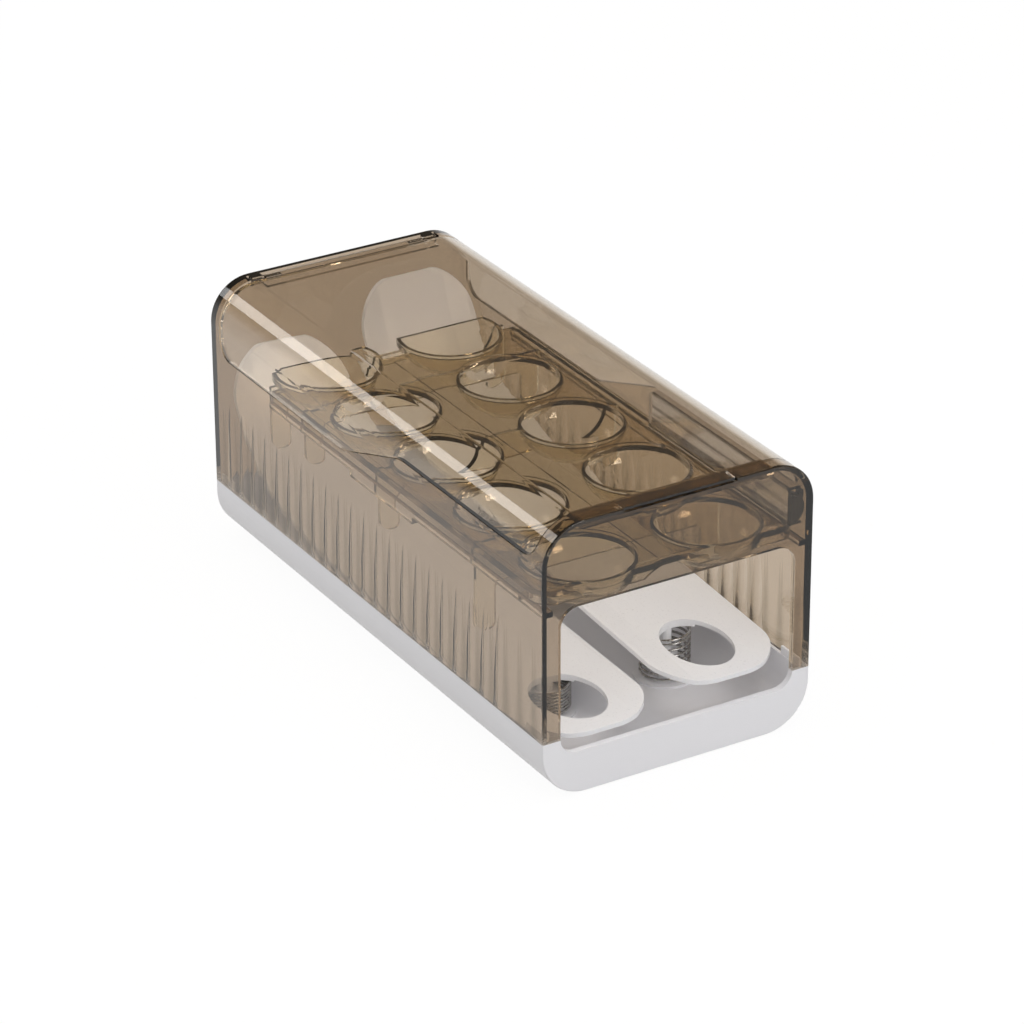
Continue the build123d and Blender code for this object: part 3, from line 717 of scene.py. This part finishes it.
def wind_spring(node_name):
    """Replace one spring solid by a wound wire that stretches between the box and its lane."""
    low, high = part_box(node_name)
    centre = (low + high) / 2
    values = {
        "Foot": (centre.x, centre.y, low.z + wire_radius),
        "Height": high.z - low.z - 2 * wire_radius,
    }
    piece = mesh_from_tree(node_name + "_wire", spring_tree, values)
    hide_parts(node_name)
    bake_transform(piece)
    return piece


for side in ("left", "right"):
    for end_name in ("front", "rear"):
        coil = wind_spring(f"{side}_{end_name}_spring")
        print(coil.name, "triangles", sum(len(p.vertices) - 2 for p in coil.data.polygons))

# %% [markdown]
# ## The floor
# The object stands on a plain white floor in a white room, as in a catalogue picture. What the eye sees of
# the floor, straight, mirrored or through clear plastic, glows white. A share of real diffuse paper stays
# in it, so that the object still casts a faint soft shadow. For all other rays the floor is pale grey
# paper, so that it doesn't light the object from below too strongly.

# %% Floor
floor_reach = 30.0
floor_level = -0.0001
floor_glow = 1.10
paper_share = 0.14
paper_grey = "B4B2AF"


def seen_rays(tree):
    """1 for rays from the eye, straight, mirrored or through clear plastic, else 0."""
    path = add_node(tree, "ShaderNodeLightPath").outputs
    bent = add_node(
        tree,
        "ShaderNodeMath",
        {0: path["Is Glossy Ray"], 1: path["Is Transmission Ray"]},
        operation="MAXIMUM",
    )
    every = add_node(
        tree, "ShaderNodeMath", {0: path["Is Camera Ray"], 1: bent.outputs[0]}, operation="MAXIMUM"
    )
    return every.outputs[0]


def make_floor():
    """A wide white floor, just under the soles of the foot pads."""
    signs = ((-1, -1), (1, -1), (1, 1), (-1, 1))
    corners = [(x * floor_reach, y * floor_reach, floor_level) for x, y in signs]
    mesh = bpy.data.meshes.new("studio_floor")
    mesh.from_pydata(corners, [], [(0, 1, 2, 3)])
    floor = bpy.data.objects.new("studio_floor", mesh)
    bpy.context.scene.collection.objects.link(floor)
    material, tree, output = new_material("white_paper_sweep")
    paper = add_node(tree, "ShaderNodeBsdfDiffuse", {"Color": linear(paper_grey)})
    glow = add_node(tree, "ShaderNodeEmission", {"Color": linear("FFFFFF"), "Strength": floor_glow})
    pale = add_node(
        tree,
        "ShaderNodeMixShader",
        {0: paper_share, 1: glow.outputs[0], 2: paper.outputs[0]},
    )
    surface = add_node(
        tree,
        "ShaderNodeMixShader",
        {0: seen_rays(tree), 1: paper.outputs[0], 2: pale.outputs[0]},
    )
    tree.links.new(surface.outputs[0], output.inputs["Surface"])
    mesh.materials.append(material)
    return floor


studio_floor = make_floor()
print("floor:", studio_floor.name)

# %% [markdown]
# ## The white room
# Behind the object the room is white. Overhead it falls off to a dim, slightly warm ceiling: the lid
# mirrors that, and a white ceiling would wash it out. Height here is the Z of a ray's direction, from 0
# at the horizon to 1 overhead. The object itself is lit by an even soft light, which is a value of its
# own, so the backdrop can be white without more light on the object.

# %% White room
room = bpy.data.worlds.new("white_room")
bpy.context.scene.world = room
room.use_nodes = True
room.node_tree.nodes.clear()
room_light = 0.72
ceiling_light = 0.22
ceiling_tone = "F6E4CF"
walls_end = 0.05
ceiling_start = 0.35


def make_room(tree):
    """White walls under a dim warm ceiling for what the eye sees, and an even soft light for the rest."""
    output = tree.nodes.new("ShaderNodeOutputWorld")
    toward = add_node(tree, "ShaderNodeTexCoord").outputs["Generated"]
    height = add_node(tree, "ShaderNodeSeparateXYZ", {0: toward}).outputs["Z"]
    ceiling = add_node(
        tree,
        "ShaderNodeMapRange",
        {
            "Value": height,
            "From Min": walls_end,
            "From Max": ceiling_start,
            "To Min": 1.0,
            "To Max": ceiling_light,
        },
    )
    warmth = add_node(
        tree,
        "ShaderNodeMapRange",
        {"Value": height, "From Min": walls_end, "From Max": ceiling_start},
    )
    tone = add_node(
        tree,
        "ShaderNodeMix",
        {"Factor": warmth.outputs["Result"], 6: linear("FFFFFF"), 7: linear(ceiling_tone)},
        data_type="RGBA",
    )
    seen = add_node(
        tree,
        "ShaderNodeBackground",
        {"Color": tone.outputs[2], "Strength": ceiling.outputs["Result"]},
    )
    lit = add_node(
        tree, "ShaderNodeBackground", {"Color": linear("FBFAF9"), "Strength": room_light}
    )
    both = add_node(
        tree,
        "ShaderNodeMixShader",
        {0: seen_rays(tree), 1: lit.outputs[0], 2: seen.outputs[0]},
    )
    tree.links.new(both.outputs[0], output.inputs["Surface"])


make_room(room.node_tree)
print("room light:", room_light)

# %% [markdown]
# ## Softboxes and a mirror card
# The photograph's highlights say where its lamps stood. A square patch shines in the wall of every cup, so
# a square softbox stands low in front, a little to the right. One long stripe runs down the left shoulder
# of the cover: that is a softbox behind the object, up and to the left. A wide, slightly cool softbox above
# fills the lanes from over the clear cover.
# The patches in the cups are seen twice through the tinted lid, and a clear wall mirrors only 4 percent of
# what falls on it. A much brighter card stands just in front of the front softbox for them. Only rays that
# have come through clear plastic meet it, so it doesn't light the white parts, and the softbox hides from
# those rays in turn.
# A lamp's power here is worked out from how bright its face should be.

# %% Softboxes


def softbox(name, place, target, wide, tall, brightness, turn=0.0):
    """An area lamp at place that faces target; brightness is that of its face."""
    lamp = bpy.data.lights.new(name, "AREA")
    lamp.shape = "RECTANGLE"
    lamp.size = wide
    lamp.size_y = tall
    lamp.energy = brightness * math.pi * wide * tall
    lamp_object = bpy.data.objects.new(name, lamp)
    bpy.context.scene.collection.objects.link(lamp_object)
    aim = (Vector(target) - Vector(place)).to_track_quat("-Z", "Y").to_matrix()
    roll = Matrix.Rotation(math.radians(turn), 3, "Z")
    lamp_object.matrix_world = Matrix.Translation(place) @ (aim @ roll).to_4x4()
    return lamp_object


low_target = (0, 0, 0.06)
front_box = softbox("front_softbox", (0.48, -1.76, 0.78), low_target, 0.62, 0.62, 5.8)
front_card = softbox("front_mirror_card", (0.47, -1.72, 0.765), low_target, 0.60, 0.60, 70.0)
rear_box = softbox("rear_softbox", (-0.851, 1.58, 1.026), (0, 0, 0.1), 0.53, 0.9, 3.5, turn=-49.6)
top_box = softbox("top_softbox", (0.1, -0.3, 1.7), (0, 0, 0.05), 1.3, 1.3, 1.1)
top_box.data.color = linear("F0F4FF")[:3]
front_card.visible_diffuse = False
front_card.visible_glossy = False
front_box.visible_transmission = False
top_box.visible_transmission = False
for lamp_object in (front_box, front_card, rear_box, top_box):
    lamp_object.visible_camera = False
print("lamps:", front_box.name, front_card.name, rear_box.name, top_box.name)

# %% [markdown]
# ## The camera
# The camera was solved from the photograph: the straight edges of the box give its direction and its
# distance in widths of the box. It looks from the front left, 27 degrees down, through a long lens. Light
# crosses many faces of clear plastic here, so the limits on bounces are raised.

# %% Camera
azimuth = math.radians(-30.8134)
elevation = math.radians(26.7973)
camera_roll = math.radians(-0.2387)
box_width = 0.140
distance = 15.3028 * box_width
shift_right = 0.0367 * box_width
shift_up = 0.3778 * box_width
focal_pixels = 4543.8
image_pixels = 1024


def make_camera():
    """The camera that took the photograph, in metres."""
    back = Vector(
        (
            math.sin(azimuth) * math.cos(elevation),
            -math.cos(azimuth) * math.cos(elevation),
            math.sin(elevation),
        )
    )
    level_right = Vector((math.cos(azimuth), math.sin(azimuth), 0.0))
    level_up = back.cross(level_right)
    right = math.cos(camera_roll) * level_right + math.sin(camera_roll) * level_up
    up = -math.sin(camera_roll) * level_right + math.cos(camera_roll) * level_up
    data = bpy.data.cameras.new("photo_camera")
    data.sensor_width = 36.0
    data.lens = focal_pixels / image_pixels * data.sensor_width
    data.clip_start = 0.1
    data.clip_end = 100.0
    camera = bpy.data.objects.new("photo_camera", data)
    bpy.context.scene.collection.objects.link(camera)
    turn = Matrix((right, up, back)).transposed().to_4x4()
    place = back * distance + right * shift_right + up * shift_up
    camera.matrix_world = Matrix.Translation(place) @ turn
    return camera


scene = bpy.context.scene
scene.camera = make_camera()
scene.view_settings.view_transform = "Standard"
scene.cycles.transmission_bounces = 24
scene.cycles.max_bounces = 28
scene.cycles.transparent_max_bounces = 48
print("lens in mm:", round(scene.camera.data.lens, 1))
